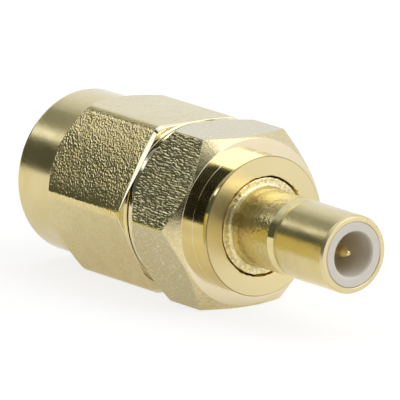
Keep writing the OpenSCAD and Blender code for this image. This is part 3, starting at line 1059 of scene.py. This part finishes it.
class BuildStage(Operator):
    """Pale floor, soft surroundings and camera"""

    bl_idname = "coax.build_stage"
    bl_label = "Stage"

    def execute(self, context):
        s = context.scene.coax_stage
        self.floor(s)
        self.card(s)
        self.surroundings(context, s)
        self.camera(context, s)
        context.scene.view_settings.view_transform = "Standard"
        return {"FINISHED"}

    def floor(self, s):
        """Plane under the adapter. The camera sees it white, with the adapter's soft shadow
        kept. Mirror rays see a dimmer, warmer white that is a little brighter under the
        boss, brighter still far ahead, and dark in one patch to the front. All other rays
        see plain pale paint."""
        low, edge = station("body", 0, 2), s.floor_reach
        corners = [(-edge, -edge, low), (edge, -edge, low), (edge, edge, low), (-edge, edge, low)]
        floor = stage_plane("floor", corners)
        tree, out = stage_material(floor, "floor_paper")
        path = tree.nodes.new("ShaderNodeLightPath").outputs
        camera, mirror, through = (
            Value(tree, path[f"Is {ray} Ray"]) for ray in ("Camera", "Glossy", "Transmission")
        )
        x, y, _ = parts_of(in_millimetres(tree))
        along = x.ramp(8.0, 12.0) * x.ramp(25.0, 18.0)
        beside = maths(tree, "ABSOLUTE", y).ramp(12.0, 8.0) * along
        ahead = y.ramp(-32.0, -48.0) * x.ramp(12.0, 30.0)
        near = (beside * 0.25 + 1.0 - ahead).or_more(0.0) * x.ramp(24.0, 42.0, 1.0, 1.5)
        strength = camera * FLOOR_TO_CAMERA + mirror.or_more(through) * s.floor_glow * near
        warmth = blend(camera, WARM_WHITE, WHITE)
        glow = made(tree, "ShaderNodeEmission", 0, {"Color": warmth, "Strength": strength})
        pale = blend(ahead, PALE_PAINT, DARK_PAINT)
        paint = made(tree, "ShaderNodeBsdfDiffuse", 0, {"Color": pale})
        shade = made(tree, "ShaderNodeBsdfDiffuse", 0, {"Color": SHADOW_PAINT})
        surface = made(tree, "ShaderNodeMixShader", 0, {0: camera, 1: paint, 2: shade})
        connect(out, Surface=made(tree, "ShaderNodeAddShader", 0, {0: surface, 1: glow}))

    def card(self, s):
        """Small card that stands on the floor beside the hexagons and glows gold, a light that
        only mirror rays see."""
        low = station("body", 0, 2)
        (back, front), y, top = CARD_SPAN, CARD_SIDE, CARD_TOP
        corners = [(back, y, low), (front, y, low), (front, y, top), (back, y, top)]
        card = stage_plane("card", corners)
        card.visible_camera = card.visible_diffuse = card.visible_shadow = False
        tree, out = stage_material(card, "card_gold")
        connect(out, Surface=made(tree, "ShaderNodeEmission", 0, {"Color": opaque(s.card)}))

    def surroundings(self, context, s):
        """World by direction: white paper behind, beside and above, an unlit room on the
        camera's side, and in it one strip light at the front left and one small lamp above
        the camera. The camera itself always sees white."""
        world = context.scene.world = bpy.data.worlds.new("studio")
        tree, out = bare_tree(world, "ShaderNodeOutputWorld")
        direction = made(tree, "ShaderNodeTexCoord", "Generated", {})
        x, y, z = parts_of(direction)
        left, right = x.ramp(-0.3, -0.5), x.ramp(0.2, 0.5)

        paper = y.ramp(-0.05, 0.45, 0.55 * s.paper, s.paper).or_more(x.ramp(-0.3, 0.3))
        key = facing(direction, KEY_SIDE).ramp(0.86, 0.97, 0.0, s.key)
        bright = paper + key + z.ramp(0.78, 0.92, 0.0, s.overhead)

        room = z.ramp(0.53, 0.58, s.room, 2.2 * s.room) * (right * -0.8 + 1.0)
        band = z.ramp(0.42, 0.47) * z.ramp(0.565, 0.505)
        strip = left * band * (y.ramp(-0.75, -0.65) * s.strip)
        lamp = facing(direction, LAMP_SIDE).ramp(0.988, 0.994, 0.0, s.lamp)
        shaded = room.or_more(strip).or_more(lamp)

        toward = (right * -0.045 + y).ramp(0.09, 0.0)
        dark = toward * z.ramp(0.72, 0.60).or_more(right * z.ramp(0.85, 0.75))
        lit = shaded * dark + bright * (1.0 - dark)
        camera = made(tree, "ShaderNodeLightPath", "Is Camera Ray", {})
        untinted = camera.or_more(strip.ramp(0.1, 0.6).or_more(lamp.ramp(0.1, 0.6)))
        colour = blend(dark * (1.0 - untinted), WHITE, ROOM_TINT)
        light = {"Color": colour, "Strength": lit.or_more(camera)}
        connect(out, Surface=made(tree, "ShaderNodeBackground", 0, light))

    def camera(self, context, s):
        """Camera at its distance from the aim point, along the direction given by azimuth
        and elevation, then rolled about that direction."""
        back = Vector(
            (
                math.sin(s.azimuth) * math.cos(s.elevation),
                -math.cos(s.azimuth) * math.cos(s.elevation),
                math.sin(s.elevation),
            )
        )
        side = Vector((math.cos(s.azimuth), math.sin(s.azimuth), 0))
        up = back.cross(side)
        right = math.cos(s.roll) * side + math.sin(s.roll) * up
        upward = math.cos(s.roll) * up - math.sin(s.roll) * side
        data = bpy.data.cameras.new("camera")
        data.lens = s.lens
        data.clip_start, data.clip_end = 0.01, 10.0
        camera = bpy.data.objects.new("camera", data)
        context.scene.collection.objects.link(camera)
        turn = Matrix((right, upward, back)).transposed().to_4x4()
        camera.matrix_world = Matrix.Translation(Vector(s.aim) + back * s.distance) @ turn
        context.scene.camera = camera


STEPS = (
    MakeFinishes, AddNut, AddThread, AddBody, AddShell, AddInsulators, AddContact,
    FinishKeptNodes, BuildStage,
)
GROUPS = (
    ("coax_nut", NutSizes), ("coax_thread", ThreadSizes), ("coax_body", BodySizes),
    ("coax_shell", ShellSizes), ("coax_insulator", InsulatorSizes),
    ("coax_contact", ContactSizes), ("coax_finish", FinishSettings), ("coax_stage", StageSettings),
)


class AdapterPanel(Panel):
    """Lists the adapter's steps and settings in the sidebar"""

    bl_idname = "VIEW3D_PT_coax_adapter"
    bl_label = "Coaxial adapter"
    bl_space_type = "VIEW_3D"
    bl_region_type = "UI"
    bl_category = "Adapter"

    def draw(self, context):
        for maker in STEPS:
            self.layout.operator(maker.bl_idname)
        for name, group in GROUPS:
            box = self.layout.box()
            box.label(text=group.__name__)
            for setting in group.__annotations__:
                box.prop(getattr(context.scene, name), setting)


def register():
    for name, group in GROUPS:
        bpy.utils.register_class(group)
        setattr(bpy.types.Scene, name, PointerProperty(type=group))
    for maker in (*STEPS, AdapterPanel):
        bpy.utils.register_class(maker)


def unregister():
    for maker in (AdapterPanel, *reversed(STEPS)):
        bpy.utils.unregister_class(maker)
    for name, group in reversed(GROUPS):
        delattr(bpy.types.Scene, name)
        bpy.utils.unregister_class(group)


def main():
    register()
    for maker in STEPS:
        getattr(bpy.ops.coax, maker.bl_idname.split(".")[1])()


if __name__ == "__main__":
    main()
